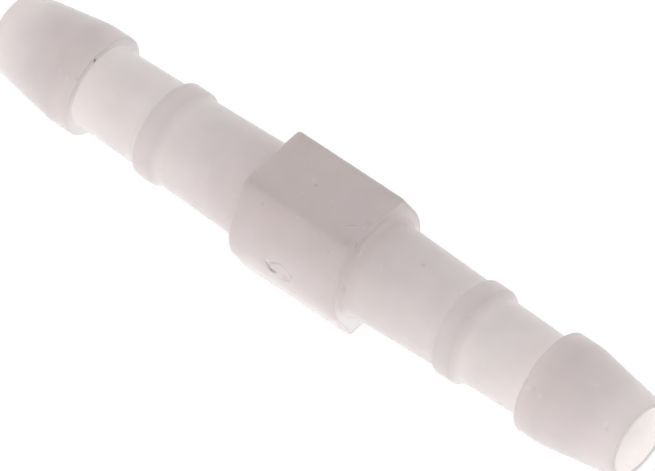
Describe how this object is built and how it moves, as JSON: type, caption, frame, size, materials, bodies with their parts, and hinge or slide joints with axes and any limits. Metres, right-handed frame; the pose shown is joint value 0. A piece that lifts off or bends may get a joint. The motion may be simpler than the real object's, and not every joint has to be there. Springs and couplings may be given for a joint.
{
  "type": "hose connector",
  "caption": "Straight double-ended hose connector: a barb and a low ridge on each tail, a collar with two flats in the middle, and a bore right through.",
  "frame": {"origin": "on the axis of the bore, midway between the two mouths", "axes": "+X along the bore towards one mouth, +Z square to the upper flat of the collar, -Y towards the side with the gate scar"},
  "size_m": [0.065, 0.0108, 0.011],
  "materials": {
    "natural_plastic": "natural translucent moulded plastic, satin"
  },
  "bodies": {
    "root": {"connector_body": "natural_plastic"}
  },
  "joints": []
}
